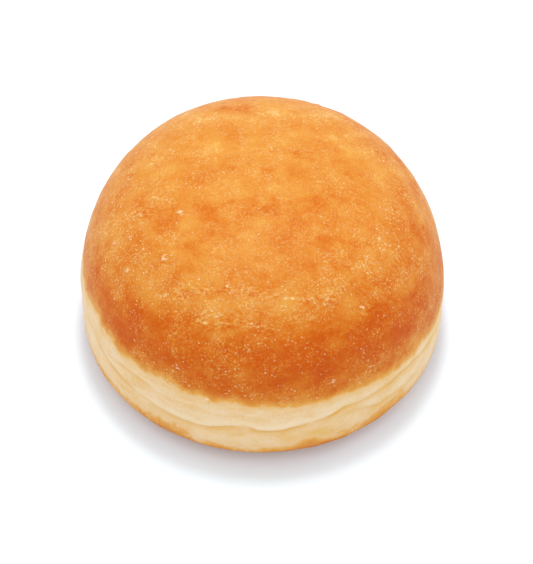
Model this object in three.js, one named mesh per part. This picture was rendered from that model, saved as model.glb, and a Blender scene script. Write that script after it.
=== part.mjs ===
// A plain berliner doughnut: one uncut piece of fried yeast dough, browned above and below,
// with the pale waist that floated at the oil's surface and folded softly over itself.
// Millimetres, +Z up. The origin is the middle of the flat foot, and the front faces -Y.
// Azimuths are degrees from the front, growing towards +X.
import * as THREE from "three";

// Driving sizes of the round form
const DIAMETER = 90;
const HEIGHT = 54.4;
const FOOT_RADIUS = 30; // the flat spot that it rests on
const EDGE_HEIGHT = 6; // height of the rounded lower edge
const EDGE_INSET = 0.25; // the lower edge stands this far inside the widest place
const WIDEST_HEIGHT = 11.5;
const DOME_POWER = 2.88; // 2 would be an ellipse: the dome is flatter on top, with fuller shoulders

// Creases of the waist as [azimuth, height, depth]. The main fold runs right round, and the two
// short ones leave it on the left and on the right and fade out.
const FOLD_LEVEL = 16; // the main fold's mean height
const MAIN_FOLD = [
  [-180, 16.1, 0.5],
  [-150, 14.9, 0.35],
  [-122, 16.5, 0.6],
  [-90, 17.9, 0.7],
  [-78, 19.5, 0.8],
  [-68, 19.9, 0.9],
  [-62, 18.3, 1.0],
  [-57, 16.4, 1.2],
  [-51, 15.8, 1.2],
  [-46, 15.0, 0.9],
  [-36, 14.1, 0.7],
  [-24, 13.3, 0.7],
  [-19, 13.5, 0.6],
  [-14, 14.8, 0.6],
  [-9, 16.2, 0.7],
  [-5, 16.1, 0.7],
  [-1, 14.9, 1.4],
  [4, 14.9, 1.4],
  [10, 15.6, 1.2],
  [18, 16.4, 0.9],
  [27, 18.8, 1.0],
  [32, 18.2, 0.8],
  [38, 18.7, 0.9],
  [44, 18.2, 1.0],
  [50, 19.0, 1.1],
  [55, 18.6, 1.1],
  [60, 17.2, 0.9],
  [66, 16.2, 0.9],
  [82, 15.1, 0.6],
  [112, 16.8, 0.7],
  [148, 15.2, 0.4],
  [180, 16.1, 0.5],
];
const UPPER_CREASE = [
  [-66, 21.0, 0],
  [-58, 20.2, 0.15],
  [-51, 20.9, 0.3],
  [-42, 21.0, 0.35],
  [-36, 20.6, 0.25],
  [-30, 20.4, 0.25],
  [-22, 21.0, 0.2],
  [-12, 21.3, 0],
];
const LOWER_CREASE = [
  [20, 17.1, 0],
  [29, 15.3, 0.25],
  [38, 12.7, 0.4],
  [50, 11.3, 0.35],
  [60, 10.8, 0.2],
  [72, 10.9, 0],
];
const LIP_HEIGHT = 2.4; // a fold's rounded upper lip
const LIP_PROUD = 0.3; // how far the lip stands out, as a share of the fold's depth
const LIP_FADE = 5; // the bulge above the lip dies away over this height
const LIP_DROOP = 0.8; // how far the lip hangs over its crease, as a share of the depth
const HOLLOW_REACH = 1.8; // the hollow under a crease dies away over this height
const FOLD_REACH = 16; // the skin bends with the main fold up to this far above it

// Hand-shaped unevenness
const OUT_OF_ROUND = 0.22; // in plan
const DOME_SWELL = 0.4; // gentle swells of the dome
const SWELL_LENGTH = 7; // their wavelength is about six times this

// Rings and segments of the skin
const SEGMENTS = 100;
const FOOT_RINGS = 3;
const EDGE_RINGS = 5;
const WAIST_RINGS = 5;
const HOLLOW_RINGS = 4;
const LIP_RINGS = [0.1, 0.25, 0.5, 0.75, 1]; // shares of the lip's height
const BULGE_RINGS = 5;
const SHOULDER_RINGS = 4;
const DOME_FOOT = 30; // the dome's evenly turned rings take over above this height
const DOME_RINGS = 12;

// Colours of the crust and of the dough that stayed above the oil
const CRUST = new THREE.Color("#DC8439");
const PALE_DOUGH = new THREE.Color("#E8CDA0");
const BROWNED_ABOVE = 25;
const BROWNED_BELOW = 7.5;
const BROWNING_BLUR = 1.5;

const WIDEST_RADIUS = DIAMETER / 2;
const EDGE_RADIUS = WIDEST_RADIUS - EDGE_INSET;

// Evenly spaced numbers after the first one, up to and including the last.
function steps(from, to, count) {
  return Array.from({ length: count }, (_, i) => from + ((to - from) * (i + 1)) / count);
}

// Height and depth of a crease at an azimuth, smoothly through its knots.
function creaseCurve(knots) {
  const azimuths = knots.map(([azimuth]) => azimuth);
  const values = knots.flatMap(([, height, depth]) => [height, depth]);
  const curve = new THREE.CubicInterpolant(azimuths, values, 2, new Float64Array(2));
  const ending = azimuths[0] === -180 ? THREE.WrapAroundEnding : THREE.ZeroSlopeEnding;
  curve.settings = { endingStart: ending, endingEnd: ending };
  return (azimuth) => {
    const [height, depth] = curve.evaluate(azimuth);
    return { height, depth: Math.max(0, depth) };
  };
}

const mainFold = creaseCurve(MAIN_FOLD);
const shortCreases = [creaseCurve(UPPER_CREASE), creaseCurve(LOWER_CREASE)];

// Radius of the even round form at a height: rounded edge, upright waist, then the dome.
function evenRadius(height) {
  if (height >= WIDEST_HEIGHT) {
    const share = Math.min((height - WIDEST_HEIGHT) / (HEIGHT - WIDEST_HEIGHT), 1);
    return WIDEST_RADIUS * (1 - share ** DOME_POWER) ** (1 / DOME_POWER);
  }
  if (height >= EDGE_HEIGHT) {
    const share = (WIDEST_HEIGHT - height) / (WIDEST_HEIGHT - EDGE_HEIGHT);
    return WIDEST_RADIUS - EDGE_INSET * share ** 2;
  }
  const share = 1 - height / EDGE_HEIGHT;
  return FOOT_RADIUS + (EDGE_RADIUS - FOOT_RADIUS) * Math.sqrt(1 - share ** 2);
}

// The even profile from the middle of the foot to the crown, its rings closest at the main fold.
function evenProfile() {
  const foot = [0, ...steps(0, FOOT_RADIUS, FOOT_RINGS)].map((r) => new THREE.Vector2(r, 0));
  const edge = new THREE.EllipseCurve(
    FOOT_RADIUS, EDGE_HEIGHT, EDGE_RADIUS - FOOT_RADIUS, EDGE_HEIGHT, -Math.PI / 2, 0,
  ).getPoints(EDGE_RINGS);
  const hollowFoot = FOLD_LEVEL - HOLLOW_REACH;
  const lipTop = FOLD_LEVEL + LIP_HEIGHT;
  const bulgeTop = lipTop + LIP_FADE;
  const domeRise = HEIGHT - WIDEST_HEIGHT;
  const domeStart = Math.asin(((DOME_FOOT - WIDEST_HEIGHT) / domeRise) ** (DOME_POWER / 2));
  const heights = [
    ...steps(EDGE_HEIGHT, hollowFoot, WAIST_RINGS),
    ...steps(hollowFoot, FOLD_LEVEL, HOLLOW_RINGS),
    ...LIP_RINGS.map((share) => FOLD_LEVEL + share * LIP_HEIGHT),
    ...steps(lipTop, bulgeTop, BULGE_RINGS),
    ...steps(bulgeTop, DOME_FOOT, SHOULDER_RINGS),
    ...steps(domeStart, Math.PI / 2, DOME_RINGS).map(
      (turn) => WIDEST_HEIGHT + domeRise * Math.sin(turn) ** (2 / DOME_POWER),
    ),
  ];
  const skin = heights.map((height) => new THREE.Vector2(evenRadius(height), height));
  return [...foot, ...edge.slice(1), ...skin];
}

// How far the skin stands in or out beside a crease: a hollow below it, a rounded lip above it.
function creaseRelief(above, depth) {
  if (above < 0) return -depth * Math.exp(above / HOLLOW_REACH);
  const share = Math.min(above / LIP_HEIGHT, 1);
  const rounding = Math.sqrt(1 - (1 - share) ** 2);
  const fade = Math.exp(-((Math.max(above - LIP_HEIGHT, 0) / LIP_FADE) ** 2));
  return -depth + depth * rounding + depth * LIP_PROUD * rounding * fade;
}

// The lip sinks over its crease and swings back to the even skin at its top.
function lipDroop(above, depth) {
  const share = above / LIP_HEIGHT;
  return share > 0 && share < 1 ? LIP_DROOP * depth * 4 * share * (1 - share) : 0;
}

// Gentle swells of the hand-shaped dome, by place in plan.
function domeSwell(x, y) {
  return (
    Math.sin(x / SWELL_LENGTH + 0.9) * Math.cos(y / (SWELL_LENGTH * 1.2) - 0.4) +
    0.6 * Math.sin((x + y) / (SWELL_LENGTH * 1.5) + 2.1)
  );
}

// How far the plan departs from a circle.
function planError(turn) {
  return Math.cos(2 * turn - 2.6) + 0.8 * Math.cos(3 * turn + 2.9);
}

// Moves a point of the even form to its place on the real skin.
function shapeSkin(point) {
  const turn = Math.atan2(point.x, -point.y);
  const azimuth = THREE.MathUtils.radToDeg(turn);
  const level = Math.max(0, point.z);
  const fold = mainFold(azimuth);
  const above = level - FOLD_LEVEL;
  const reach = above < 0 ? FOLD_LEVEL : FOLD_REACH;
  const nearness = Math.max(0, 1 - Math.abs(above) / reach) ** 2;
  const height = level + (fold.height - FOLD_LEVEL) * nearness;

  let relief = creaseRelief(above, fold.depth) + OUT_OF_ROUND * planError(turn);
  for (const crease of shortCreases) {
    const { height: creaseHeight, depth } = crease(azimuth);
    relief += creaseRelief(height - creaseHeight, depth);
  }
  // The foot stays flat and the crown stays closed: the relief fades out towards both.
  const evenPlace = Math.hypot(point.x, point.y);
  const fromFoot = THREE.MathUtils.smoothstep(level, 0, EDGE_HEIGHT);
  const fromCrown = Math.min(1, evenPlace / FOOT_RADIUS);
  const radius = evenPlace + evenRadius(height) - evenRadius(level) + relief * fromFoot * fromCrown;
  point.x = radius * Math.sin(turn);
  point.y = -radius * Math.cos(turn);

  const crown = THREE.MathUtils.smoothstep(height, DOME_FOOT, HEIGHT);
  const swell = DOME_SWELL * crown * domeSwell(point.x, point.y);
  point.z = height - lipDroop(above, fold.depth) + swell;
}

// Browned crust above and below, pale dough between.
function skinColour(height) {
  const above = THREE.MathUtils.smoothstep(
    height, BROWNED_ABOVE - BROWNING_BLUR, BROWNED_ABOVE + BROWNING_BLUR,
  );
  const below = 1 - THREE.MathUtils.smoothstep(
    height, BROWNED_BELOW - BROWNING_BLUR, BROWNED_BELOW + BROWNING_BLUR,
  );
  return PALE_DOUGH.clone().lerp(CRUST, Math.max(above, below));
}

function makeDoughnut() {
  const geometry = new THREE.LatheGeometry(evenProfile(), SEGMENTS).rotateX(Math.PI / 2);
  const position = geometry.getAttribute("position");
  const colours = new THREE.Float32BufferAttribute(position.count * 3, 3);
  const point = new THREE.Vector3();
  for (let i = 0; i < position.count; i++) {
    shapeSkin(point.fromBufferAttribute(position, i));
    position.setXYZ(i, point.x, point.y, point.z);
    colours.setXYZ(i, ...skinColour(point.z).toArray());
  }
  geometry.setAttribute("color", colours);
  geometry.computeVertexNormals();
  const fried = new THREE.MeshStandardMaterial({
    vertexColors: true,
    roughness: 0.5,
    metalness: 0,
  });
  const doughnut = new THREE.Mesh(geometry, fried);
  doughnut.name = "doughnut";
  return doughnut;
}

const berliner = new THREE.Group();
berliner.add(makeDoughnut());

export default berliner;
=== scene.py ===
"""Looks of a plain berliner doughnut: a browned dome and foot, with a soft, folded pale waist between."""
import math

import bpy
import numpy as np
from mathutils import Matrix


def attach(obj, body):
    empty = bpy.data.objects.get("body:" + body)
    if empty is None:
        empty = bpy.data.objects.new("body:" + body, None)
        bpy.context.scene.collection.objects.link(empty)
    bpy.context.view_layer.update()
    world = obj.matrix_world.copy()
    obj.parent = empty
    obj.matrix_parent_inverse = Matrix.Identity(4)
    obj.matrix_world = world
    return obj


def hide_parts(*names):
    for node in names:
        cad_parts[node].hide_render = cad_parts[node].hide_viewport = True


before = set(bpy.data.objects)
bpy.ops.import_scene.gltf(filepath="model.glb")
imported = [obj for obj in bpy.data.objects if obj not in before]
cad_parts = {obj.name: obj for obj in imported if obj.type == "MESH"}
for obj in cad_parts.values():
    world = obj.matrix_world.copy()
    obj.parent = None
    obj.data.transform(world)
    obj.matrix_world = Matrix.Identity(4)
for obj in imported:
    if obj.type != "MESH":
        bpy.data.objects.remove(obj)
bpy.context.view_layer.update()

# Lengths are in millimetres unless a comment says metres, with +Z up and the front towards -Y.
# Azimuths are degrees from the front, growing to the right.
MM = 0.001

# The even round form
DIAMETER = 90.0
HEIGHT = 54.4
FOOT_RADIUS = 30.0  # the flat spot that it rests on
EDGE_HEIGHT = 6.0  # height of the rounded lower edge
EDGE_INSET = 0.25  # the lower edge stands this far inside the widest place
WIDEST_HEIGHT = 11.5
DOME_POWER = 2.88  # 2 would be an ellipse: the dome is flatter on top, with fuller shoulders
WIDEST_RADIUS = DIAMETER / 2
EDGE_RADIUS = WIDEST_RADIUS - EDGE_INSET
DOME_RISE = HEIGHT - WIDEST_HEIGHT

# Creases of the waist: azimuth, height, depth, and how golden the dough is under it, partly its own colour
# and partly painted shade.
# The main fold runs right round; the others fade out.
FOLD_LEVEL = 16.0  # the main fold's mean height
MAIN_FOLD = [
    (-180, 16.1, 0.5, 0.7), (-150, 14.9, 0.35, 0.6), (-122, 16.5, 0.6, 0.8), (-90, 17.9, 0.7, 0.7),
    (-78, 19.5, 0.8, 0.7), (-68, 19.9, 0.9, 0.7), (-62, 18.3, 1.0, 0.9), (-57, 16.4, 1.2, 1.2),
    (-51, 15.8, 1.2, 1.0), (-46, 15.0, 0.9, 0.35), (-36, 14.1, 0.7, 0.3), (-30, 13.7, 0.7, 0.3),
    (-24, 13.3, 0.7, 0.4), (-19, 13.5, 0.6, 0.5), (-14, 14.8, 0.6, 0.8), (-9, 16.2, 0.7, 0.6),
    (-5.5, 16.2, 0.7, 0.25), (-3.5, 15.7, 0.8, 0.6), (-1, 14.9, 1.4, 1.0), (4, 14.9, 1.4, 1.0),
    (10, 15.6, 1.2, 0.9), (15, 16.0, 0.9, 0.15), (18, 16.4, 0.9, 0.25), (22, 17.0, 1.0, 1.2),
    (27, 18.8, 1.0, 1.2), (32, 18.2, 0.8, 0.7), (38, 18.7, 0.9, 0.6), (44, 18.2, 1.0, 0.9),
    (50, 19.0, 1.1, 1.1), (55, 18.6, 1.1, 1.3), (60, 17.2, 0.9, 0.6), (66, 16.2, 0.9, 1.2),
    (82, 15.1, 0.6, 0.8), (112, 16.8, 0.7, 0.8), (148, 15.2, 0.4, 0.6), (180, 16.1, 0.5, 0.7),
]
UPPER_CREASE = [
    (-66, 21.0, 0, 0), (-60, 20.4, 0.15, 0.2), (-55.5, 19.6, 0.2, 0.2), (-51, 20.9, 0.3, 0.6),
    (-46, 21.1, 0.3, 0.6), (-42, 21.0, 0.35, 0.7), (-36, 20.6, 0.25, 0.35), (-30, 20.4, 0.25, 0.35),
    (-25, 21.0, 0.2, 0.35), (-20, 21.1, 0.15, 0.25), (-12, 21.3, 0, 0),
]
LOWER_CREASE = [
    (20, 17.1, 0, 0), (29, 15.3, 0.25, 0.3), (38, 12.7, 0.4, 0.6), (50, 11.3, 0.35, 0.5),
    (60, 10.8, 0.2, 0.2), (72, 10.9, 0, 0),
]
FRONT_CREASE = [
    (-13, 11.8, 0, 0), (-10, 12.4, 0.1, 0.3), (-5.5, 13.4, 0.15, 0.35), (-2.5, 14.6, 0.1, 0.3),
    (0, 15, 0, 0),
]
SHORT_CREASES = [UPPER_CREASE, LOWER_CREASE, FRONT_CREASE]
LIP_HEIGHT = 2.4  # a fold's rounded upper lip
LIP_PROUD = 0.3  # how far the lip stands out, as a share of the fold's depth
LIP_FADE = 5.0  # the bulge above the lip dies away over this height
LIP_DROOP = 0.8  # how far the lip hangs over its crease, as a share of the depth
HOLLOW_REACH = 1.8  # the hollow under a crease dies away over this height
FOLD_REACH = 16.0  # the skin bends with the main fold up to this far above it

# Soft random unevenness is given in layers: strength, size, seed
FOLD_WANDER = [(0.35, 3.5, 31), (0.15, 1.2, 32)]  # of a crease, up and down
MEAN_DEPTH = 0.85  # share of a crease's depth that is even
DEPTH_CHANGE = [(0.4, 5.0, 33)]
NOISE_CELLS = 48  # the random pattern repeats after this many sizes

# Hand-shaped unevenness
OUT_OF_ROUND = 0.22  # in plan
OVAL_TURN = -2.6  # radians
THREE_SIDED = 0.8  # share of a three-sided plan beside the oval one
THREE_SIDED_TURN = 2.9  # radians
DOME_SWELL = 0.4  # gentle swells of the dome
SWELL_LENGTH = 7.0  # their wavelength is about six times this
BACK_STRETCH = 1.2  # they are this much longer towards the back
DIAGONAL_STRETCH = 1.5  # and this much longer along the diagonal
DIAGONAL_SHARE = 0.6
SWELL_SHIFTS = (0.9, -0.4, 2.1)  # across, towards the back and along the diagonal, in radians
DOME_FOOT = 30.0  # they start at this height

# Fine relief along the normal, in layers
CRUST_LUMPS = [(0.11, 5.0, 11), (0.07, 2.1, 12), (0.03, 1.1, 13)]
CRINKLE_RIDGES = [(0.11, 0.9, 14)]
RIDGE_STRETCH = (0.5, 1, 1)  # ridges run across
DOUGH_WRINKLES = [(0.08, 4.5, 17), (0.03, 1.9, 18)]
WRINKLE_STRETCH = (1, 1, 2.6)  # wrinkles run level
FRIED_BLEND = (-1, 3)  # edge rise from pale dough's relief to the crust's
STANDING_BLEND = (0.3, 4)  # height over which the relief grows out of the flat foot

# Mesh of the skin
SEGMENTS = 512
FOOT_RINGS = [9.0, 18.0, 25.0, 28.5]  # radii
EDGE_RINGS = 22
WAIST_RINGS = 20
LIP_RINGS = 12
LIP_CROWDING = 1.5  # the lip's rings crowd towards its crease
DOME_RINGS = 126
DOME_STEPS = 4000  # points of the curve along which the dome's rings are spread evenly

# Where the browning starts: azimuth and height of the dome's browned edge and of the foot's
DOME_EDGE = [
    (-180, 25.5), (-150, 25.2), (-120, 24.8), (-90, 25.0), (-76, 25.6), (-70, 27.2), (-65, 27.6),
    (-60.5, 26.1), (-56.5, 26.8), (-52, 25.5), (-45, 25.8), (-36, 26.1), (-30, 26.4), (-25, 24.6),
    (-20, 26.3), (-15, 24.7), (-10, 26.1), (-5, 24.9), (0, 24.9), (7, 24.5), (12, 24.2), (22, 24.4),
    (27, 25.1), (32, 24.1), (38, 23.4), (44, 22.4), (49, 22.3), (54, 21.4), (61, 22.2), (66, 19.8),
    (76, 19.4), (90, 20.4), (105, 21.4), (125, 22.8), (150, 24.2), (180, 25.5),
]
FOOT_EDGE = [
    (-180, 6.4), (-150, 7.6), (-120, 6.0), (-90, 6.4), (-62, 7.2), (-50, 7.4), (-42, 7.2), (-35, 9.2),
    (-29, 10.2), (-24, 9.4), (-21, 6.2), (-15, 5.8), (-8, 5.7), (0, 5.3), (7, 7.4), (12, 7.7), (17, 8.4),
    (21, 7.0), (28, 7.1), (34, 7.2), (38, 7.6), (45, 8.8), (50, 8.0), (58, 6.2), (64, 5.9), (80, 5.8),
    (110, 7.4), (145, 5.8), (180, 6.4),
]
FOOT_BLUR = 0.6  # the foot's edge is softer than the dome's
EDGE_RAGGED = [(0.4, 7.0, 20), (0.6, 3.6, 21), (0.55, 1.7, 22)]

# How brown the fried crust is, from 0, pale, to 1, dark; the darker front shoulder is partly painted shade,
# the paler back is painted light and the darker side rims are painted shade. Spans run from none of an effect
# to all of it.
CROWN_TONE = 0.505
# The front shoulder is darker partly from browning and partly as painted shade, where it turns away from the
# light above and behind.
FRONT_SHOULDER_TONE = 0.31
FRONT_COSINES = (0.05, 0.7)  # of the azimuth
REAR_SHOULDER_TONE = 0.12
REAR_COSINES = (-0.2, -0.8)
SHOULDER_TOP = 48.0  # height where the shoulder starts to darken
SHOULDER_SINK = 7.0  # it starts this much lower at the sides
SINK_AZIMUTHS = (33, 72)
SHOULDER_DEPTH = 8.0  # it is fully dark this far below its top
LOW_CRUST_LOSS = 0.62  # share of the shoulder's tone that is lost towards the browned edge
LOW_CRUST_HEIGHTS = (33, 25)
BACK_PAINTED_LIGHT = 0.14  # painted light: the crust is painted paler towards the back, where the light from behind falls
BACK_SPAN = (-14, 24)
SIDE_PAINTED_SHADE = 0.065  # painted shade, added away from the front, darker towards the rim
SIDE_RADII = (25, 38)
FLANK_TONE = 0.025  # added low on the sides
FLANK_RADII = (34, 42)
FLANK_AZIMUTHS = (26, 50)
CRUST_CLOUDS = [(0.08, 6.0, 23)]
CRUST_STREAKS = [(0.09, 2.0, 24)]
STREAK_STRETCH = (0.55, 1, 1)  # streaks run across
FOOT_TONE = 0.44
FOOT_RIM_TONE = 0.26  # added where the foot meets the table
FOOT_RIM_HEIGHTS = (6.6, 4.2)
FOOT_CLOUDS = [(0.18, 6.0, 25)]
SPOT_TONE = 0.11

# Darker fried spots on the dome, and lighter ones: across, towards the back, half width, strength
BROWN_SPOTS = [
    (-12.7, -6.2, 2.6, 1.0), (-12.6, -12.5, 1.3, 0.9), (-16.3, -16.1, 1.8, 0.7), (-24.2, -9.6, 2.3, -0.2),
    (-29.7, -10.5, 1.6, 2.1), (-22.7, -23.6, 2.2, -0.5), (-25, 3, 3.5, 1.5), (-12, 3.5, 3.0, 1.2),
    (1.2, -7.2, 2.2, 0.8), (0.7, 5.5, 1.9, 1.2), (8.5, 11.5, 1.8, 0.9), (9.2, 3.8, 1.9, 0.8),
    (15.2, -14.2, 1.9, 2.0), (7.2, -14.2, 1.5, 0.9), (4.4, -14.6, 1.5, -0.6), (16.5, -5.3, 2.4, 0.7),
    (16.3, -1.5, 2.0, 0.5), (22, -8, 2.0, 0.5), (29.9, -7.5, 2.0, 0.8), (38.7, -7, 2.4, 0.6),
    (-9.5, 28.3, 2.2, 2.1), (-4.6, 28.4, 2.2, 2.9), (20, -20, 2.2, 0.7), (-9, -27.3, 1.5, 1.1),
    (-1, -27.7, 1.5, 0.8), (-8.5, -33.4, 2.0, 0.8), (6.7, -35, 1.8, 0.9), (-29.5, -27.5, 5.0, 0.6),
    (35.5, -25.5, 5.0, 0.45), (9.5, -39.5, 4.0, 0.3), (16.5, -40.5, 2.6, 0.5), (15, -39, 4.6, 1.1),
    (0, -30.5, 2.6, -1.2), (-6, -30, 2.4, -0.8), (7, -31, 2.4, -0.9), (13, -31, 2.2, -0.7),
    (0, -23, 4.0, 0.5), (-15.5, 15.5, 4.0, 0.5), (-22, 15, 5.0, 1.0), (19.5, 15.5, 4.0, -0.6),
    (-2, 20.5, 4.0, -0.8), (-36.2, -18.5, 4.0, -0.9), (39.3, -15, 4.0, -0.2), (-34, 8, 7.0, 0.6),
    (6, 28, 9.0, -0.8), (0, -43.8, 3.0, -0.5), (-30.4, -24.3, 4.0, 0.8), (-30.4, -29.1, 4.0, 0.8),
    (-18, -39.3, 5.0, -1.0), (0, -38, 3.5, 0.6), (-31.9, 2.1, 3.0, -1.4), (-35.4, 3.6, 2.2, 1.3),
    (-20.5, -37.3, 2.6, -0.3), (20.4, -33.4, 3.0, -0.9), (29.3, -31.5, 2.6, -0.8), (41.8, -4.5, 3.0, 0.7),
    (10, 27.5, 4.0, 0.7), (39.5, -18.5, 2.6, 0.5), (41.3, -12.5, 2.4, 0.9), (-0.3, -4.3, 1.5, -0.8),
    (1.2, 28, 2.4, -0.9), (-28.4, -28.6, 2.8, -0.8), (16.9, -36.1, 2.4, -1.2), (-10.5, -40.8, 3.0, 0.8),
    (24.4, -35.6, 2.4, 0.6), (9.4, -40.6, 2.6, 0.8), (-17, 3.4, 2.2, -0.7), (-12, 29.5, 2.0, -0.5),
    (38, 2.5, 3.4, -0.9), (27, 20, 3.0, 0.5),
]

# Flakes and blisters that stand out of the crust: across, towards the back, half width, height, paleness
FLAKES = [
    (-32.9, -16.8, 0.75, 0.35, 0.9), (-32, -9.6, 0.6, 0.3, 0.8), (-23.5, -17.5, 0.95, 0.3, 0.5),
    (-21.8, -17.2, 0.6, 0.2, 0.5), (-20, -6, 0.65, 0.3, 0.8), (-31, -2.8, 0.6, 0.2, 0.45),
    (-29.6, -4.1, 0.6, 0.2, 0.45), (-36, -8.4, 0.7, 0.2, 0.45), (-8.5, -26.6, 0.5, 0.25, 0.6),
    (-13.8, -27, 0.55, 0.2, 0.55), (4.8, 0.3, 0.5, 0.25, 0.7), (17.2, -40.1, 0.45, 0.3, 1.0),
    (-13.4, -42.4, 0.9, 0.3, 0.7), (24.1, -28.1, 0.75, 0.25, 0.6), (11.3, -29, 0.5, 0.2, 0.55),
    (15.6, -28.4, 0.5, 0.2, 0.55), (-0.5, -35, 0.55, 0.2, 0.6), (-2.6, -34.5, 0.6, 0.2, 0.5),
    (-35.9, -20.5, 0.45, 0.2, 0.7), (-2.9, -40.2, 0.7, 0.2, 0.3), (33.1, -11.1, 0.4, 0.2, 0.6),
    (7.6, 24.7, 0.6, 0.2, 0.5), (-14.7, 26.3, 0.6, 0.2, 0.4), (8.2, -38, 0.6, 0.2, 0.3),
    (30, 14, 0.5, 0.2, 0.35), (-27, 22, 0.6, 0.25, 0.6), (14, 36, 0.7, 0.3, 0.7),
    (-18, 38, 0.6, 0.25, 0.6), (38, 10, 0.6, 0.25, 0.6), (-31.4, -30.8, 0.35, 0.15, 0.7),
    (-23.2, -35.8, 0.4, 0.2, 0.6), (-20.5, -37.8, 0.7, 0.2, 0.65), (-18.7, -39.6, 0.6, 0.2, 0.65),
    (-18, -40.2, 0.4, 0.15, 0.5), (-9, -42.9, 0.6, 0.2, 0.6), (-8.3, -43.6, 0.4, 0.15, 0.6),
    (-2.8, -44, 0.4, 0.2, 0.6), (-1.3, -44.1, 0.35, 0.15, 0.5), (25.8, -34.8, 0.5, 0.2, 0.8),
    (26.3, -35, 0.45, 0.2, 0.7), (25.1, -36.1, 0.4, 0.15, 0.6), (21.1, -38.6, 0.5, 0.15, 0.55),
    (23.1, -37.6, 0.5, 0.15, 0.5), (24.1, -37.5, 0.35, 0.15, 0.8), (13.6, -42.2, 0.4, 0.2, 0.8),
    (11.7, -42.9, 0.35, 0.15, 0.6), (29.1, -32.6, 0.5, 0.2, 0.55), (-9.4, 4.6, 0.4, 0.15, 0.45),
    (-8.2, 3.4, 0.35, 0.15, 0.5), (-5.2, 9.6, 0.35, 0.15, 0.5), (-4.2, 8.8, 0.35, 0.15, 0.45),
    (1.4, 21.2, 0.35, 0.15, 0.5), (27.3, 6.7, 0.5, 0.2, 0.5), (27, 9.2, 0.45, 0.2, 0.45),
    (28.2, -11.2, 0.6, 0.2, 0.55), (29.8, -12.4, 0.5, 0.2, 0.5),
]
FLAKE_STEEPNESS = 4  # power of a flake's edge: 2 would be a soft mound

# Grain of the crust, from 0, fine, to 1, coarse, and more in pebbly places
COARSE_RADII = (20, 36)
CALM_LOSS = 0.75  # share of the coarseness that is lost towards the back
CALM_SPAN = (-4, 20)
COARSEST = 1.6
# Pebbly places of the crust, and smooth ones: across, towards the back, half width, strength
PEBBLY_PLACES = [
    (15, -39, 6.0, -0.8), (-24, -17, 6.0, 0.5), (25.5, -20, 5.0, 0.5), (-31, -4, 5.0, 0.3),
    (0, -4, 12.0, -0.2), (-28, -32.5, 5.5, 0.6), (-20.2, -38.5, 3.5, 0.6), (36.5, -24.5, 3.0, 0.6),
    (26.5, -34, 3.0, 0.6), (23, -38, 3.0, 0.5), (-6, -43.5, 3.5, 0.6),
]

# Crinkled lines of the crust: strength, then places across and towards the back
CRINKLES = [
    (1.0, [(-20, -26.6), (-14.5, -26.8), (-8.7, -27.2), (-3.4, -27.8), (3.3, -28.8), (10, -29),
           (16.5, -28.5)]),
    (0.6, [(-16, -32.6), (-10, -34.4), (-2.5, -34.5), (1.5, -35.7), (6, -36.4)]),
    (0.6, [(19.5, -20), (24, -21.8), (27, -21)]),
    (0.6, [(22.5, -14.6), (26, -13.5), (29, -11.5)]),
    (0.7, [(-33, -2), (-30, -3.8), (-27.5, -3.6)]),
    (0.5, [(-24, -19), (-20.5, -19.5)]),
    (0.8, [(23, -29.5), (27.5, -27.6)]),
    (0.6, [(-11, 27.2), (-5, 28.6)]),
    (0.6, [(-24, 30), (-17, 33), (-10, 34)]),
    (0.6, [(21, 27), (27, 22), (31, 15)]),
]
CRINKLE_STEP = 0.3  # between points along a line
CRINKLE_HALF_WIDTH = 1.2
CRINKLE_MEAN = 0.8  # share of a line's strength that is even
CRINKLE_PATCHES = [(0.4, 2.6, 15)]
FAINT_CRINKLE = 0.3  # strength of faint crinkles in random places
FAINT_PATCHES = [(1.0, 5.5, 16)]
FAINT_SPAN = (0.15, 0.6)  # of those patches

# Colour of the folded dough, from -1, a painted highlight on a fold's lip, to 1, golden under a crease,
# partly the dough's own colour and partly painted shade
# Gold under a crease: partly the dough's own colour, partly painted shade.
MAIN_GOLD_REACH = 2.0  # the gold under the main fold dies away over this height
SHORT_GOLD_REACH = 0.9  # and under a short crease over this
NEAR_GOLD = 0.75
FAR_GOLD = 0.25
FAR_GOLD_REACH = 3.0
CREASE_BLUR = 0.3  # the gold dies away over this height above the crease
# The painted highlight along the lip above a fold.
LIP_HIGHLIGHT = 0.8
LIP_HIGHLIGHT_HEIGHT = 1.8  # above the crease
LIP_HIGHLIGHT_HALF_WIDTH = 1.3
HIGHLIGHT_START = (-50, -22)  # azimuths
HIGHLIGHT_LOSS = 0.6  # share of the lip's painted highlight that is lost on the right
HIGHLIGHT_LOSS_AZIMUTHS = (12, 34)
HIGHLIGHT_PER_DEPTH = 0.8
# Golden stains on the pale waist, and paler places: azimuth, height, half width, strength
STAINS = [
    (17.5, 9.5, 3.6, 0.7), (9, 9.0, 3.0, 0.45), (23, 8.5, 3.0, 0.3), (40, 9.0, 3.0, 0.25),
    (27, 22, 4.0, 0.2), (36, 21, 4.0, 0.2), (46, 19.5, 4.0, 0.2), (-62, 22.5, 3.0, 0.25),
    (0, 20, 4.0, -0.1), (61, 11.5, 3.0, -0.2),
]

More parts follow.
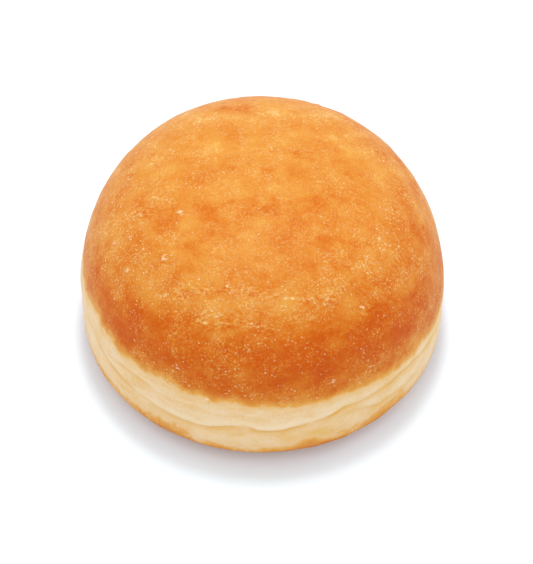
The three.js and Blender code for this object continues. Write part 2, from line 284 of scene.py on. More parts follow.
# Patterns of the material, by the size or spacing of what they show
TOOTH_SIZE = 2.2  # of the ragged browned edge
TOOTH_HEIGHT = 1.9
GRAIN_SIZE = 0.6
SAND_SIZE = 0.35  # drawn coarser than the finest grain of the crust, which would not show
SPECK_SPACING = 0.8
SWARM_SIZE = 6.0  # of specks and pebbles
RIDGE_SIZE = 0.7  # of crinkles
CHIP_SIZE = 0.33  # of a flake
CLOUD_SIZE = 8.0
BLOTCH_SIZE = 7.0
BLOTCH_STRETCH = (1.0, 1.0, 1.7)  # blotches lie level
PORE_SPACING = 5.0
HALO_HEIGHTS = (8, 13)  # the golden halo of the browned edge belongs to the dome, above the foot
BUMP_HEIGHT = 0.2
LIGHT_DEPTH = 2.0  # how far light goes into soft dough
GRAIN_TONE = -0.55  # added to the crust's tone on its lightest grains, which are partly paler crust and partly painted glints and painted highlights on crinkle ridges
SPECK_PALENESS_AND_GLINT = 0.52  # share of the pale grain's colour on a speck: partly a pale blister, partly a painted glint
CRUMB_SHARE = 0.45  # how much the fine sand shows in the pale dough
CHIP_SPREAD = -0.7  # the chips of a flake differ by this much in paleness

# Colours
CRUST_COLOURS = [
    (0.0, "#DBC09A"), (0.07, "#D8B283"), (0.16, "#D49D4A"), (0.30, "#CE8C39"),
    (0.47, "#C97E2B"), (0.64, "#C36A16"), (0.82, "#BC5500"), (1.0, "#B64800"),
]
TAN_DOUGH = "#D6AE76"
# Painted highlight on the lips of the folds.
LIP_HIGHLIGHT_CREAM = "#DFC9A6"
# Gold under the creases, partly painted shade, and the golden halo by the browned edge.
GOLDEN_DOUGH_AND_SHADE = "#D3A24A"
# Dark pores: painted shade in the dough's tiny open holes.
PORE_SHADE = "#8E6230"
# Pale grains and specks: partly their own paleness, partly painted glints.
PALE_GRAIN_AND_GLINT = "#CBBDA6"
LOOSE_CHIP = "#E6C9A0"
FLOOR_WHITE = "#E8F3FC"

# Floor and light, in metres and watts. Softboxes: name, place, diameter, power
FLOOR_HALF = 4.0
FLOOR_DROP = 0.05 * MM  # keeps the floor clear of the flat foot
ROOM_LIGHT = 1.03
SOFTBOXES = [
    ("softbox_above", (0.0, 0.2, 0.95), 0.2, 3.3),
    ("softbox_left", (-0.85, 0.45, 0.5), 0.5, 1.0),
    ("softbox_right", (0.85, 0.45, 0.5), 0.5, 1.3),
    ("softbox_front", (0.0, -0.9, 0.5), 0.5, 1.0),
]
LIGHT_AIM = (0, 0, 0.02)

# Camera of the photo: a long lens far above the table
PICTURE_WIDTH, PICTURE_HEIGHT = 533, 564
CAMERA_RISE = 54.0  # degrees above the table
CAMERA_AWAY = 1.2  # metres from the middle of the doughnut
MIDDLE_HEIGHT = 21.9  # the point that it is aimed at
PIXELS_PER_MM = 4.016
MIDDLE_PIXEL = (262.2, 266.5)
SENSOR = 36.0
FAR_CLIP = 20.0  # metres


def smoothstep(value, low, high):
    """Rises smoothly from 0 at low to 1 at high, which may also be the smaller one."""
    share = np.clip((value - low) / (high - low), 0, 1)
    return share * share * (3 - 2 * share)


def faded(away, half_width):
    """Falls smoothly from 1 to about a third at the half width."""
    return np.exp(-((away / half_width) ** 2))


def ring_curve(knots, azimuth):
    """Values at an azimuth, smoothly through the knots. Knots that span the whole ring join at the back."""
    table = np.array(knots, float)
    at, values = table[:, 0], table[:, 1:]
    slope = np.zeros_like(values)
    slope[1:-1] = (values[2:] - values[:-2]) / (at[2:] - at[:-2])[:, None]
    if at[0] == -180:
        slope[[0, -1]] = (values[1] - values[-2]) / (at[1] - at[-2] + 360)
    first = np.clip(np.searchsorted(at, azimuth, side="right") - 1, 0, len(at) - 2)
    gap = (at[first + 1] - at[first])[..., None]
    t = np.clip((azimuth - at[first])[..., None] / gap, 0, 1)
    start, end = values[first], values[first + 1]
    smooth = start + (end - start) * t * t * (3 - 2 * t)
    return np.moveaxis(smooth + gap * t * (1 - t) * (slope[first] * (1 - t) - slope[first + 1] * t), -1, 0)


def dough_noise(places, size, seed):
    """Soft random swells between -1 and 1, one about every size."""
    table = np.random.default_rng(seed).uniform(-1, 1, (NOISE_CELLS,) * 3)
    spot = places / size
    cell = np.floor(spot).astype(int)
    part = spot - cell
    part = part * part * (3 - 2 * part)
    total = np.zeros(places.shape[:-1])
    for corner in np.ndindex(2, 2, 2):
        weight = np.prod(np.where(corner, part, 1 - part), axis=-1)
        x, y, z = np.moveaxis((cell + corner) % NOISE_CELLS, -1, 0)
        total += weight * table[x, y, z]
    return total


def layered_noise(places, layers):
    """Soft random swells in layers of strength, size and seed."""
    return sum(strength * dough_noise(places, size, seed) for strength, size, seed in layers)


def crease_curve(knots, azimuth):
    """Height, depth and gold of a crease at an azimuth, with the small unevenness of soft dough."""
    height, depth, gold = ring_curve(knots, azimuth)
    turn = np.radians(azimuth)
    rim = WIDEST_RADIUS * np.stack([np.sin(turn), -np.cos(turn), 0 * turn], axis=-1)
    height = height + layered_noise(rim, FOLD_WANDER)
    depth = np.maximum(depth, 0) * (MEAN_DEPTH + layered_noise(rim, DEPTH_CHANGE))
    return height, depth, np.maximum(gold, 0)


def even_radius(height):
    """Radius of the even round form: rounded edge, upright waist, then the dome."""
    rise = np.clip((height - WIDEST_HEIGHT) / DOME_RISE, 0, 1)
    dome = WIDEST_RADIUS * (1 - rise**DOME_POWER) ** (1 / DOME_POWER)
    sink = np.clip((WIDEST_HEIGHT - height) / (WIDEST_HEIGHT - EDGE_HEIGHT), 0, 1)
    turn = np.clip(1 - height / EDGE_HEIGHT, 0, 1)
    edge = FOOT_RADIUS + (EDGE_RADIUS - FOOT_RADIUS) * np.sqrt(1 - turn**2)
    return np.where(height < EDGE_HEIGHT, edge, dome - EDGE_INSET * sink**2)


def on_dome(across, back):
    """Place on the even dome above a point of the plan."""
    share = np.clip(np.hypot(across, back) / WIDEST_RADIUS, 0, 1)
    height = WIDEST_HEIGHT + DOME_RISE * (1 - share**DOME_POWER) ** (1 / DOME_POWER)
    return np.stack([across, back, height], axis=-1)


def away_from(places, across, back):
    """Distance of places from the point of the dome above a point of the plan."""
    return np.linalg.norm(places - on_dome(across, back), axis=-1)


def even_rings():
    """Radius and level of every ring from the middle of the foot to the crown."""
    turn = np.linspace(0, math.pi / 2, EDGE_RINGS + 1)
    edge_radius = FOOT_RADIUS + (EDGE_RADIUS - FOOT_RADIUS) * np.sin(turn)
    edge_level = EDGE_HEIGHT * (1 - np.cos(turn))
    waist = np.linspace(EDGE_HEIGHT, FOLD_LEVEL, WAIST_RINGS + 1)[1:]
    lip = FOLD_LEVEL + LIP_HEIGHT * np.linspace(0, 1, LIP_RINGS + 1)[1:] ** LIP_CROWDING
    lip_top = FOLD_LEVEL + LIP_HEIGHT
    start = math.asin(((lip_top - WIDEST_HEIGHT) / DOME_RISE) ** (DOME_POWER / 2))
    fine_turn = np.linspace(start, math.pi / 2, DOME_STEPS)
    fine_level = WIDEST_HEIGHT + DOME_RISE * np.sin(fine_turn) ** (2 / DOME_POWER)
    fine_radius = WIDEST_RADIUS * np.clip(np.cos(fine_turn), 0, 1) ** (2 / DOME_POWER)
    run = np.concatenate([[0], np.cumsum(np.hypot(np.diff(fine_level), np.diff(fine_radius)))])
    stops = np.linspace(0, run[-1], DOME_RINGS + 1)[1:-1]
    level = np.concatenate([
        np.zeros(len(FOOT_RINGS)), edge_level, waist, lip, np.interp(stops, run, fine_level),
    ])
    radius = np.concatenate([
        FOOT_RINGS, edge_radius, even_radius(waist), even_radius(lip), np.interp(stops, run, fine_radius),
    ])
    return radius, level


def crease_relief(above, depth):
    """How far the skin stands in or out beside a crease: a hollow below it, a rounded lip above it."""
    share = np.clip(above / LIP_HEIGHT, 0, 1)
    rounding = np.sqrt(1 - (1 - share) ** 2)
    fade = faded(np.maximum(above - LIP_HEIGHT, 0), LIP_FADE)
    lip = depth * (rounding - 1 + LIP_PROUD * rounding * fade)
    return np.where(above < 0, -depth * np.exp(np.minimum(above, 0) / HOLLOW_REACH), lip)


def dome_swell(x, y):
    """Gentle swells of the dome, as multiples of their height."""
    across, back, diagonal = SWELL_SHIFTS
    crossed = np.sin(x / SWELL_LENGTH + across) * np.cos(y / (SWELL_LENGTH * BACK_STRETCH) + back)
    return crossed + DIAGONAL_SHARE * np.sin((x + y) / (SWELL_LENGTH * DIAGONAL_STRETCH) + diagonal)


def even_skin(radius, level, turn):
    """Places of the skin before its fine relief, for rings of the even form."""
    azimuth = np.degrees(turn)
    fold_height, fold_depth, _ = crease_curve(MAIN_FOLD, azimuth)
    above = level - FOLD_LEVEL
    reach = np.where(above < 0, FOLD_LEVEL, FOLD_REACH)
    nearness = np.maximum(0, 1 - np.abs(above) / reach) ** 2
    height = level + (fold_height - FOLD_LEVEL) * nearness
    plan_error = np.cos(2 * turn + OVAL_TURN) + THREE_SIDED * np.cos(3 * turn + THREE_SIDED_TURN)
    relief = crease_relief(above, fold_depth) + OUT_OF_ROUND * plan_error
    for crease in SHORT_CREASES:
        at, depth, _ = crease_curve(crease, azimuth)
        relief = relief + crease_relief(height - at, depth)
    from_foot = smoothstep(level, 0, EDGE_HEIGHT)
    from_crown = np.minimum(1, radius / FOOT_RADIUS)
    place = radius + even_radius(height) - even_radius(level) + relief * from_foot * from_crown
    x, y = place * np.sin(turn), -place * np.cos(turn)
    share = np.clip(above / LIP_HEIGHT, 0, 1)
    z = height - LIP_DROOP * fold_depth * 4 * share * (1 - share)
    z += DOME_SWELL * smoothstep(height, DOME_FOOT, HEIGHT) * dome_swell(x, y)
    return np.stack([x, y, z], axis=-1)


def skin_normals(places):
    """Outward normals of a grid of places, ring by ring."""
    along = np.gradient(places, axis=0)
    around = np.roll(places, -1, axis=1) - np.roll(places, 1, axis=1)
    normal = np.cross(around, along)
    return normal / np.linalg.norm(normal, axis=-1, keepdims=True)


def crinkled(places):
    """How crinkled the crust is, from 0 to 1."""
    crinkle = np.zeros(places.shape[:-1])
    for strength, knots in CRINKLES:
        across, back = np.array(knots, float).T
        run = np.concatenate([[0], np.cumsum(np.hypot(np.diff(across), np.diff(back)))])
        stops = np.arange(0, run[-1], CRINKLE_STEP)
        for spot in zip(np.interp(stops, run, across), np.interp(stops, run, back)):
            crinkle = np.maximum(crinkle, strength * faded(away_from(places, *spot), CRINKLE_HALF_WIDTH))
    patchy = CRINKLE_MEAN + layered_noise(places, CRINKLE_PATCHES)
    faint = FAINT_CRINKLE * smoothstep(layered_noise(places, FAINT_PATCHES), *FAINT_SPAN)
    return np.clip(patchy * crinkle + faint, 0, 1)


def flaked(places):
    """How pale the crust is where a flake or blister stands out, and how high it stands."""
    pale, height = np.zeros(places.shape[:-1]), np.zeros(places.shape[:-1])
    for across, back, half, rise, paleness in FLAKES:
        away = away_from(places, across, back)
        pale = np.maximum(pale, paleness * faded(away, half))
        height += rise * np.exp(-((away / half) ** FLAKE_STEEPNESS))
    return pale, height


def edge_rise(places, azimuth):
    """Height above the dome's browned edge, or below the foot's: positive where the dough is fried."""
    above = places[..., 2] - ring_curve(DOME_EDGE, azimuth)[0]
    below = FOOT_BLUR * (ring_curve(FOOT_EDGE, azimuth)[0] - places[..., 2])
    return np.maximum(above, below) + layered_noise(places, EDGE_RAGGED)


def crust_tone_and_shading(places, azimuth):
    """How brown the fried crust is: 0 pale, 1 dark. The front shoulder is the darkest, partly browning and
    partly painted shade; the back is painted paler as painted light, and the side rims darker as painted
    shade.
    """
    height = places[..., 2]
    from_axis = np.hypot(places[..., 0], places[..., 1])
    forward = np.cos(np.radians(azimuth))
    front = smoothstep(forward, *FRONT_COSINES)
    rear = smoothstep(forward, *REAR_COSINES)
    top = SHOULDER_TOP - SHOULDER_SINK * smoothstep(np.abs(azimuth), *SINK_AZIMUTHS)
    shoulder = smoothstep(top - height, 0, SHOULDER_DEPTH)
    shoulder *= 1 - LOW_CRUST_LOSS * smoothstep(height, *LOW_CRUST_HEIGHTS)
    flank = smoothstep(from_axis, *FLANK_RADII) * smoothstep(np.abs(azimuth), *FLANK_AZIMUTHS)
    # The front shoulder's extra darkness is partly painted shade.
    dome = CROWN_TONE + (FRONT_SHOULDER_TONE * front + REAR_SHOULDER_TONE * rear) * shoulder
    # Painted light: paler towards the back.
    dome -= BACK_PAINTED_LIGHT * smoothstep(places[..., 1], *BACK_SPAN)
    # Painted shade towards the side rims, then the flanks' own tone.
    dome += SIDE_PAINTED_SHADE * smoothstep(from_axis, *SIDE_RADII) * (1 - front) + FLANK_TONE * flank
    dome += layered_noise(places, CRUST_CLOUDS) + layered_noise(places * STREAK_STRETCH, CRUST_STREAKS)
    for across, back, half, strength in BROWN_SPOTS:
        dome += SPOT_TONE * strength * faded(away_from(places, across, back), half)
    foot = FOOT_TONE + FOOT_RIM_TONE * smoothstep(height, *FOOT_RIM_HEIGHTS)
    foot += layered_noise(places, FOOT_CLOUDS)
    return np.where(height > FOLD_LEVEL, dome, foot)


def coarseness(places):
    """How coarse the grain of the crust is: 0 on the crown, 1 on the flanks, more in pebbly places."""
    coarse = smoothstep(np.hypot(places[..., 0], places[..., 1]), *COARSE_RADII)
    coarse *= 1 - CALM_LOSS * smoothstep(places[..., 1], *CALM_SPAN)
    for across, back, half, strength in PEBBLY_PLACES:
        coarse += strength * faded(away_from(places, across, back), half)
    return np.clip(coarse, 0, COARSEST)


def fold_gold_shading_and_stains(places, azimuth):
    """Colour of the folded dough: 1 golden in a crease, partly the dough's own colour and partly painted
    shade under the fold; -1 a painted highlight on the lip above it.
    """
    tint = np.zeros(places.shape[:-1])
    side = smoothstep(azimuth, *HIGHLIGHT_START) * (1 - HIGHLIGHT_LOSS * smoothstep(azimuth, *HIGHLIGHT_LOSS_AZIMUTHS))
    for knots in (MAIN_FOLD, *SHORT_CREASES):
        at, depth, gold = crease_curve(knots, azimuth)
        reach = MAIN_GOLD_REACH if knots is MAIN_FOLD else SHORT_GOLD_REACH
        below = at - places[..., 2]
        sunk = np.maximum(below, 0)
        # Gold under the crease: partly the dough's own colour, partly painted shade.
        under = NEAR_GOLD * faded(sunk, reach) + FAR_GOLD * np.exp(-sunk / FAR_GOLD_REACH)
        line = np.exp(np.minimum(below, 0) / CREASE_BLUR)
        # Painted highlight on the lip above the crease.
        lip = LIP_HIGHLIGHT * faded(below + LIP_HIGHLIGHT_HEIGHT, LIP_HIGHLIGHT_HALF_WIDTH)
        lip_highlight = side * np.minimum(1, HIGHLIGHT_PER_DEPTH * depth)
        tint += gold * np.where(below > 0, under, line) - lip_highlight * lip
    for at, height, half, strength in STAINS:
        along = np.radians(azimuth - at) * WIDEST_RADIUS
        tint += strength * faded(np.hypot(along, places[..., 2] - height), half)
    return np.clip(tint, -1, 1)


def skin_relief(places, fried, crinkle, flake_height):
    """Fine relief along the normal: a lumpy, crinkled crust and softly wrinkled pale dough."""
    lumps = layered_noise(places, CRUST_LUMPS) + flake_height
    lumps += crinkle * layered_noise(places * RIDGE_STRETCH, CRINKLE_RIDGES)
    wrinkles = layered_noise(places * WRINKLE_STRETCH, DOUGH_WRINKLES)
    return fried * lumps + (1 - fried) * wrinkles


def skin_faces(rings):
    """Faces between neighbouring rings, closed by a fan at the foot's middle point and one at the crown's."""
    here = np.arange(SEGMENTS)
    after = (here + 1) % SEGMENTS
    lower = np.arange(rings - 1)[:, None] * SEGMENTS
    upper = lower + SEGMENTS
    quads = np.stack([lower + here, lower + after, upper + after, upper + here], axis=-1)
    top = (rings - 1) * SEGMENTS
    foot_point, crown_point = rings * SEGMENTS, rings * SEGMENTS + 1
    faces = quads.reshape(-1, 4).tolist()
    faces += [(int(b), int(a), foot_point) for a, b in zip(here, after)]
    faces += [(int(top + a), int(top + b), crown_point) for a, b in zip(here, after)]
    return faces


def make_skin():
    """The whole doughnut as one closed mesh, with what its material needs to know at every point."""
    ring_radius, ring_level = even_rings()
    around = np.linspace(-math.pi, math.pi, SEGMENTS, endpoint=False)
    turn = around[None, :] + np.zeros((len(ring_level), 1))
    rings = even_skin(ring_radius[:, None], ring_level[:, None] + 0 * turn, turn)
    crown = even_skin(np.zeros((1, 1)), np.full((1, 1), HEIGHT), np.zeros((1, 1)))
    ends = np.array([[0, 0, -1.0], [0, 0, 1.0]])
    places = np.concatenate([rings.reshape(-1, 3), np.zeros((1, 3)), crown[0]])
    normals = np.concatenate([skin_normals(rings).reshape(-1, 3), ends])
    azimuth = np.concatenate([np.degrees(turn).ravel(), [0, 0]])

    rise = edge_rise(places, azimuth)
    crinkle = crinkled(places)
    flake, flake_height = flaked(places)
    marks = {
        "edge_rise": rise,
        "crust_tone_and_shading": crust_tone_and_shading(places, azimuth),
        "fold_gold_shading_and_stains": fold_gold_shading_and_stains(places, azimuth),
        "crinkle": crinkle,
        "flake": flake,
        "coarseness": coarseness(places),
    }
    fine = skin_relief(places, smoothstep(rise, *FRIED_BLEND), crinkle, flake_height)
    fine *= smoothstep(places[:, 2], *STANDING_BLEND)
    points = (places + normals * fine[:, None]) * MM
    faces = skin_faces(len(ring_level))

    mesh = bpy.data.meshes.new("fried_doughnut")
    mesh.from_pydata(points.tolist(), [], faces)
    mesh.polygons.foreach_set("use_smooth", np.ones(len(faces), bool))
    for name, values in marks.items():
        attribute = mesh.attributes.new(name, "FLOAT", "POINT")
        attribute.data.foreach_set("value", values.astype(np.float32))
    mesh.update()
    piece = bpy.data.objects.new("fried_doughnut", mesh)
    bpy.context.collection.objects.link(piece)
    return piece


def linear(hex_colour):
    """sRGB hex to linear RGBA."""
    parts = [int(hex_colour[i:i + 2], 16) / 255 for i in (1, 3, 5)]
    return [c / 12.92 if c <= 0.04045 else ((c + 0.055) / 1.055) ** 2.4 for c in parts] + [1.0]


def per_size(size):
    """Texture scale that gives one feature about every size."""
    return 1 / (size * MM)


def add_node(tree, kind, inputs=None, **settings):
    """Adds a node with its settings; an input is a number, a colour or another node's output."""
    made = tree.nodes.new(kind)
    for name, value in settings.items():
        setattr(made, name, value)
    for name, value in (inputs or {}).items():
        if isinstance(value, bpy.types.NodeSocket):
            tree.links.new(value, made.inputs[name])
        else:
            made.inputs[name].default_value = value
    return made


def browned_edge(tree, place, rise):
    """Height above the edge of the browning, ragged down to half a millimetre, and how fried the dough is."""
    teeth = add_node(tree, "ShaderNodeTexNoise", {
        "Vector": place, "Scale": per_size(TOOTH_SIZE), "Detail": 1.0, "Roughness": 0.35}).outputs[0]
    jag = add_node(tree, "ShaderNodeMath", {
        0: teeth, 1: TOOTH_HEIGHT, 2: rise}, operation="MULTIPLY_ADD").outputs[0]
    crust = add_node(tree, "ShaderNodeMapRange", {
        "Value": jag, "From Min": -1.2, "From Max": 3.7}, interpolation_type="SMOOTHSTEP").outputs[0]
    return jag, crust


def light_specks(tree, place, swarms, coarse):
    """Specks of the crust, more where they swarm: how far they stand up, and how light they are, partly pale
    blisters and partly painted glints.
    """
    cells = add_node(tree, "ShaderNodeTexVoronoi", {"Vector": place, "Scale": per_size(SPECK_SPACING)})
    chance = add_node(tree, "ShaderNodeSeparateColor", {0: cells.outputs["Color"]})
    crowded = add_node(tree, "ShaderNodeMath", {
        0: chance.outputs[0], 1: swarms}, operation="ADD").outputs[0]
    swarming = add_node(tree, "ShaderNodeMapRange", {
        "Value": coarse, "From Min": 1.0, "From Max": COARSEST, "To Min": 0.0, "To Max": 0.35}).outputs[0]
    dense = add_node(tree, "ShaderNodeMath", {0: crowded, 1: swarming}, operation="ADD").outputs[0]
    reach = add_node(tree, "ShaderNodeMapRange", {
        "Value": dense, "From Min": 0.72, "From Max": 1.6, "To Min": 0.02, "To Max": 0.41}).outputs[0]
    dot = add_node(tree, "ShaderNodeMapRange", {
        "Value": cells.outputs["Distance"], "From Min": 0.0, "From Max": reach,
        "To Min": 1.0, "To Max": 0.0}).outputs[0]
    speck = add_node(tree, "ShaderNodeMath", {
        0: dot, 1: chance.outputs[1]}, operation="MULTIPLY").outputs[0]
    boost = add_node(tree, "ShaderNodeMapRange", {"Value": coarse, "To Min": 1.2, "To Max": 1.75}).outputs[0]
    bright = add_node(tree, "ShaderNodeMath", {
        0: speck, 1: boost}, operation="MULTIPLY", use_clamp=True).outputs[0]
    return speck, bright


def light_grains(tree, grains, sandy, ridges, swarms, crinkle, coarse):
    """How light the crust is on its grains and its sand, partly paler crust and partly painted glints, and on
    the ridges of its crinkles, where it is a painted highlight.
    """
    grain = add_node(tree, "ShaderNodeMapRange", {
        "Value": grains, "From Min": 0.52, "From Max": 0.8, "To Min": 0.0, "To Max": 0.2}).outputs[0]
    # Painted highlight on the ridges of the crinkles.
    crest = add_node(tree, "ShaderNodeMapRange", {
        "Value": ridges, "From Min": 0.54, "From Max": 0.72, "To Min": 0.0, "To Max": 0.6}).outputs[0]
    lit = add_node(tree, "ShaderNodeMath", {
        0: crest, 1: crinkle, 2: grain}, operation="MULTIPLY_ADD").outputs[0]
    fine = add_node(tree, "ShaderNodeMapRange", {
        "Value": sandy, "From Min": 0.6, "From Max": 1.0, "To Min": 0.0, "To Max": 0.3}).outputs[0]
    pebbly = add_node(tree, "ShaderNodeMapRange", {
        "Value": swarms, "From Min": 0.36, "From Max": 0.64, "To Min": 0.35, "To Max": 1.65}).outputs[0]
    pebbles = add_node(tree, "ShaderNodeMath", {0: fine, 1: pebbly}, operation="MULTIPLY").outputs[0]
    rough = add_node(tree, "ShaderNodeMapRange", {"Value": coarse, "To Min": 0.58, "To Max": 1.1}).outputs[0]
    return add_node(tree, "ShaderNodeMath", {
        0: pebbles, 1: rough, 2: lit}, operation="MULTIPLY_ADD").outputs[0]


def crust_colour(tree, tone, crust, crinkle, ridges, clouds, lightest):
    """Crust mottled at every size from 8 mm down, darker between ridges and lighter on its grains."""
    mottled = add_node(tree, "ShaderNodeMapRange", {
        "Value": clouds, "From Min": 0.25, "From Max": 0.75, "To Min": -0.24, "To Max": 0.24}).outputs[0]
    gap = add_node(tree, "ShaderNodeMapRange", {
        "Value": ridges, "From Min": 0.35, "From Max": 0.6, "To Min": 0.26, "To Max": -0.1}).outputs[0]
    toned = add_node(tree, "ShaderNodeMath", {
        0: gap, 1: crinkle, 2: tone}, operation="MULTIPLY_ADD").outputs[0]
    shifted = add_node(tree, "ShaderNodeMath", {0: toned, 1: mottled}, operation="ADD").outputs[0]
    # Lighter on the lightest grains: partly paler crust, partly painted glints and painted highlights on
    # crinkle ridges.
    lightened = add_node(tree, "ShaderNodeMath", {
        0: lightest, 1: GRAIN_TONE, 2: shifted}, operation="MULTIPLY_ADD").outputs[0]
    fried = add_node(tree, "ShaderNodeMath", {0: lightened, 1: crust}, operation="MULTIPLY").outputs[0]
    ramp = add_node(tree, "ShaderNodeValToRGB", {"Fac": fried})
    while len(ramp.color_ramp.elements) < len(CRUST_COLOURS):
        ramp.color_ramp.elements.new(1.0)
    for element, (at, colour) in zip(ramp.color_ramp.elements, CRUST_COLOURS):
        element.position = at
        element.color = linear(colour)
    return ramp.outputs[0]


def pale_dough_colour(tree, place, fried_colour, grains, sandy, crease, jag):
    """Pale dough: tan in soft blotches, a painted highlight on lips, golden in creases, partly painted shade,
    and golden by the crust, with pores darkened as painted shade.
    """
    level = add_node(tree, "ShaderNodeMapping", {"Vector": place, "Scale": BLOTCH_STRETCH}).outputs[0]
    blotches = add_node(tree, "ShaderNodeTexNoise", {
        "Vector": level, "Scale": per_size(BLOTCH_SIZE), "Detail": 4.0, "Roughness": 0.6}).outputs[0]
    blotch = add_node(tree, "ShaderNodeMapRange", {
        "Value": blotches, "From Min": 0.4, "From Max": 0.7, "To Min": -0.8, "To Max": 0.18}).outputs[0]
    crumb = add_node(tree, "ShaderNodeMath", {
        0: sandy, 1: CRUMB_SHARE, 2: blotch}, operation="MULTIPLY_ADD").outputs[0]
    bready = add_node(tree, "ShaderNodeMath", {
        0: grains, 1: crumb}, operation="ADD", use_clamp=True).outputs[0]
    blotchy = add_node(tree, "ShaderNodeMix", {
        0: bready, 6: fried_colour, 7: linear(TAN_DOUGH)}, data_type="RGBA").outputs[2]
    # Painted highlight on a fold's lip.
    lip = add_node(tree, "ShaderNodeMapRange", {
        "Value": crease, "From Min": 0.0, "From Max": -1.0}).outputs[0]
    lip_highlight = add_node(tree, "ShaderNodeMix", {
        0: lip, 6: blotchy, 7: linear(LIP_HIGHLIGHT_CREAM)}, data_type="RGBA").outputs[2]
    halo = add_node(tree, "ShaderNodeMapRange", {
        "Value": jag, "From Min": -2.8, "From Max": 0.7, "To Min": 0.0, "To Max": 0.5}).outputs[0]
    up = add_node(tree, "ShaderNodeSeparateXYZ", {0: place}).outputs[2]
    domed = add_node(tree, "ShaderNodeMapRange", {
        "Value": up, "From Min": HALO_HEIGHTS[0] * MM, "From Max": HALO_HEIGHTS[1] * MM}).outputs[0]
    rim = add_node(tree, "ShaderNodeMath", {0: halo, 1: domed}, operation="MULTIPLY").outputs[0]
    # Gold under a crease: partly the dough's own colour, partly painted shade.
    folded = add_node(tree, "ShaderNodeMapRange", {"Value": crease}).outputs[0]
    golden = add_node(tree, "ShaderNodeMath", {
        0: folded, 1: rim}, operation="ADD", use_clamp=True).outputs[0]
    tinted = add_node(tree, "ShaderNodeMix", {
        0: golden, 6: lip_highlight, 7: linear(GOLDEN_DOUGH_AND_SHADE)}, data_type="RGBA").outputs[2]
    # Pores: painted shade in tiny open holes of the pale dough.
    bubbles = add_node(tree, "ShaderNodeTexVoronoi", {
        "Vector": place, "Scale": per_size(PORE_SPACING)}).outputs["Distance"]
    pore = add_node(tree, "ShaderNodeMapRange", {
        "Value": bubbles, "From Min": 0.02, "From Max": 0.06, "To Min": 0.6, "To Max": 0.0}).outputs[0]
    return add_node(tree, "ShaderNodeMix", {
        0: pore, 6: tinted, 7: linear(PORE_SHADE)}, data_type="RGBA").outputs[2]


def flecked_colour(tree, dough, across, tone, crust, flecked, bright, flake):
    """The lightest grains, partly pale crust and partly painted glints, and the loose chips of a flake are
    nearly as pale as the dough.
    """
    paleness = add_node(tree, "ShaderNodeMapRange", {
        "Value": tone, "From Min": 0.46, "From Max": 0.7, "To Min": 0.44, "To Max": 0.1}).outputs[0]
    grainy = add_node(tree, "ShaderNodeMath", {0: flecked, 1: paleness}, operation="MULTIPLY").outputs[0]
    dotted = add_node(tree, "ShaderNodeMath", {
        0: bright, 1: SPECK_PALENESS_AND_GLINT}, operation="MULTIPLY").outputs[0]
    pale = add_node(tree, "ShaderNodeMath", {0: grainy, 1: dotted}, operation="MAXIMUM").outputs[0]
    on_crust = add_node(tree, "ShaderNodeMath", {0: pale, 1: crust}, operation="MULTIPLY").outputs[0]
    # Painted glints: the lightest grains and specks mixed towards a pale colour.
    glinting = add_node(tree, "ShaderNodeMix", {
        0: on_crust, 6: dough, 7: linear(PALE_GRAIN_AND_GLINT)}, data_type="RGBA").outputs[2]
    chips = add_node(tree, "ShaderNodeTexVoronoi", {
        "Vector": across, "Scale": per_size(CHIP_SIZE)}).outputs["Color"]
    loose = add_node(tree, "ShaderNodeSeparateColor", {0: chips}).outputs[0]
    lifting = add_node(tree, "ShaderNodeMath", {
        0: loose, 1: CHIP_SPREAD, 2: flake}, operation="MULTIPLY_ADD").outputs[0]
    chip = add_node(tree, "ShaderNodeMapRange", {
        "Value": lifting, "From Min": 0.0, "From Max": 0.35, "To Min": 0.0, "To Max": 0.85}).outputs[0]
    return add_node(tree, "ShaderNodeMix", {
        0: chip, 6: glinting, 7: linear(LOOSE_CHIP)}, data_type="RGBA").outputs[2]


def grain_bump(tree, grains, speck, ridges, crinkle, crust):
    """Grain stands up on the crust, and hardly at all on the pale dough."""
    lifted = add_node(tree, "ShaderNodeMath", {0: grains, 1: speck}, operation="ADD").outputs[0]
    ridged = add_node(tree, "ShaderNodeMath", {
        0: ridges, 1: crinkle, 2: lifted}, operation="MULTIPLY_ADD").outputs[0]
    coat = add_node(tree, "ShaderNodeMapRange", {"Value": crust, "To Min": 0.15, "To Max": 1.0}).outputs[0]
    height = add_node(tree, "ShaderNodeMath", {0: ridged, 1: coat}, operation="MULTIPLY").outputs[0]
    return add_node(tree, "ShaderNodeBump", {
        "Height": height, "Strength": 0.2, "Distance": BUMP_HEIGHT * MM}).outputs[0]


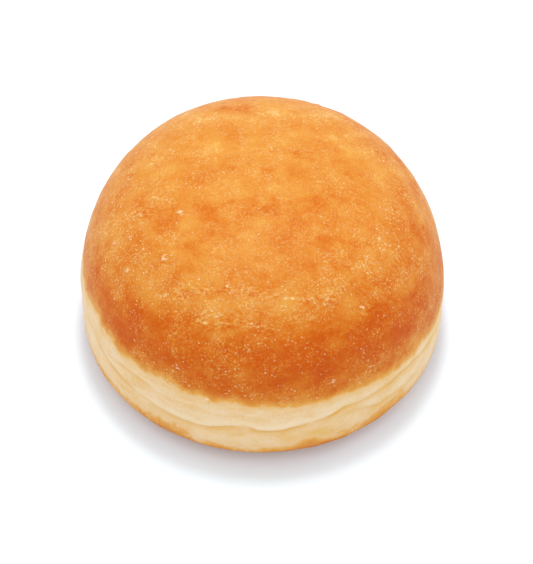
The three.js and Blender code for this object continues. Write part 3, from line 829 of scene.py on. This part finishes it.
def fried_dough():
    """Fried yeast dough: a thin satin crust, browned and pebbled, over soft pale dough that lets light in."""
    material = bpy.data.materials.new("fried_yeast_dough")
    material.use_nodes = True
    tree = material.node_tree
    tree.nodes.clear()
    place = add_node(tree, "ShaderNodeTexCoord").outputs["Object"]
    rise, tone, crease, crinkle, flake, coarse = (
        add_node(tree, "ShaderNodeAttribute", attribute_name=name).outputs["Fac"]
        for name in ("edge_rise", "crust_tone_and_shading", "fold_gold_shading_and_stains", "crinkle", "flake", "coarseness")
    )
    across = add_node(tree, "ShaderNodeMapping", {"Vector": place, "Scale": RIDGE_STRETCH}).outputs[0]
    grains = add_node(tree, "ShaderNodeTexNoise", {
        "Vector": place, "Scale": per_size(GRAIN_SIZE), "Detail": 2.0, "Roughness": 0.7}).outputs[0]
    sand = add_node(tree, "ShaderNodeTexVoronoi", {
        "Vector": place, "Scale": per_size(SAND_SIZE)}).outputs["Color"]
    sandy = add_node(tree, "ShaderNodeSeparateColor", {0: sand}).outputs[0]
    swarms = add_node(tree, "ShaderNodeTexNoise", {
        "Vector": place, "Scale": per_size(SWARM_SIZE), "Detail": 1.0}).outputs[0]
    ridges = add_node(tree, "ShaderNodeTexNoise", {
        "Vector": across, "Scale": per_size(RIDGE_SIZE), "Detail": 2.0, "Roughness": 0.6}).outputs[0]
    clouds = add_node(tree, "ShaderNodeTexNoise", {
        "Vector": place, "Scale": per_size(CLOUD_SIZE), "Detail": 5.0, "Roughness": 0.8}).outputs[0]

    jag, crust = browned_edge(tree, place, rise)
    speck, bright = light_specks(tree, place, swarms, coarse)
    flecked = light_grains(tree, grains, sandy, ridges, swarms, crinkle, coarse)
    lightest = add_node(tree, "ShaderNodeMath", {0: bright, 1: flecked}, operation="MAXIMUM").outputs[0]
    fried_colour = crust_colour(tree, tone, crust, crinkle, ridges, clouds, lightest)
    pale_colour = pale_dough_colour(tree, place, fried_colour, grains, sandy, crease, jag)
    browned = add_node(tree, "ShaderNodeMapRange", {"Value": crust, "From Max": 0.25}).outputs[0]
    dough = add_node(tree, "ShaderNodeMix", {
        0: browned, 6: pale_colour, 7: fried_colour}, data_type="RGBA").outputs[2]
    skin = flecked_colour(tree, dough, across, tone, crust, flecked, bright, flake)
    gloss = add_node(tree, "ShaderNodeMapRange", {
        "Value": clouds, "From Min": 0.3, "From Max": 0.7, "To Min": 0.42, "To Max": 0.58}).outputs[0]
    soft = add_node(tree, "ShaderNodeMapRange", {"Value": crust, "To Min": 0.15, "To Max": 0.03}).outputs[0]
    shader = add_node(tree, "ShaderNodeBsdfPrincipled", {
        "Base Color": skin, "Roughness": gloss, "IOR": 1.46, "Specular IOR Level": 0.1,
        "Normal": grain_bump(tree, grains, speck, ridges, crinkle, crust),
        "Subsurface Weight": soft, "Subsurface Radius": (1.0, 0.55, 0.25),
        "Subsurface Scale": LIGHT_DEPTH * MM})
    add_node(tree, "ShaderNodeOutputMaterial", {"Surface": shader.outputs[0]})
    return material


def pale_floor():
    """A plain matt white table top."""
    material = bpy.data.materials.new("matt_white_board")
    material.use_nodes = True
    shader = material.node_tree.nodes["Principled BSDF"]
    shader.inputs["Base Color"].default_value = linear(FLOOR_WHITE)
    shader.inputs["Roughness"].default_value = 0.9
    mesh = bpy.data.meshes.new("floor")
    corners = [(x * FLOOR_HALF, y * FLOOR_HALF, 0) for x, y in ((-1, -1), (1, -1), (1, 1), (-1, 1))]
    mesh.from_pydata(corners, [], [(0, 1, 2, 3)])
    mesh.materials.append(material)
    floor = bpy.data.objects.new("floor", mesh)
    floor.location.z = -FLOOR_DROP
    bpy.context.collection.objects.link(floor)


def softbox(name, place, size, power):
    """A round soft light aimed at the doughnut."""
    light = bpy.data.lights.new(name, "AREA")
    light.shape = "DISK"
    light.size = size
    light.energy = power
    lamp = bpy.data.objects.new(name, light)
    lamp.location = place
    aim = np.array(LIGHT_AIM) - np.array(place)
    lamp.rotation_euler = (math.atan2(math.hypot(aim[0], aim[1]), -aim[2]), 0, math.atan2(-aim[0], aim[1]))
    bpy.context.collection.objects.link(lamp)


def studio():
    """White room light, a softbox above and behind, and weak ones in front and on both sides."""
    world = bpy.data.worlds.new("white_room")
    world.use_nodes = True
    world.node_tree.nodes["Background"].inputs["Color"].default_value = (1, 1, 1, 1)
    world.node_tree.nodes["Background"].inputs["Strength"].default_value = ROOM_LIGHT
    bpy.context.scene.world = world
    for box in SOFTBOXES:
        softbox(*box)
    bpy.context.scene.view_settings.view_transform = "Standard"


def photo_camera():
    """The camera, aimed so that the doughnut lies in the picture where the photo has it."""
    camera = bpy.data.cameras.new("photo_camera")
    camera.sensor_width = SENSOR
    camera.lens = PIXELS_PER_MM * CAMERA_AWAY / MM * SENSOR / PICTURE_HEIGHT
    camera.shift_x = (PICTURE_WIDTH / 2 - MIDDLE_PIXEL[0]) / PICTURE_HEIGHT
    camera.shift_y = (MIDDLE_PIXEL[1] - PICTURE_HEIGHT / 2) / PICTURE_HEIGHT
    camera.clip_end = FAR_CLIP
    view = bpy.data.objects.new("photo_camera", camera)
    rise = math.radians(CAMERA_RISE)
    view.location = (0, -CAMERA_AWAY * math.cos(rise), MIDDLE_HEIGHT * MM + CAMERA_AWAY * math.sin(rise))
    view.rotation_euler = (math.pi / 2 - rise, 0, 0)
    bpy.context.collection.objects.link(view)
    bpy.context.scene.camera = view


doughnut = make_skin()
doughnut.data.materials.append(fried_dough())
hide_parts("doughnut")
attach(doughnut, "root")
pale_floor()
studio()
photo_camera()
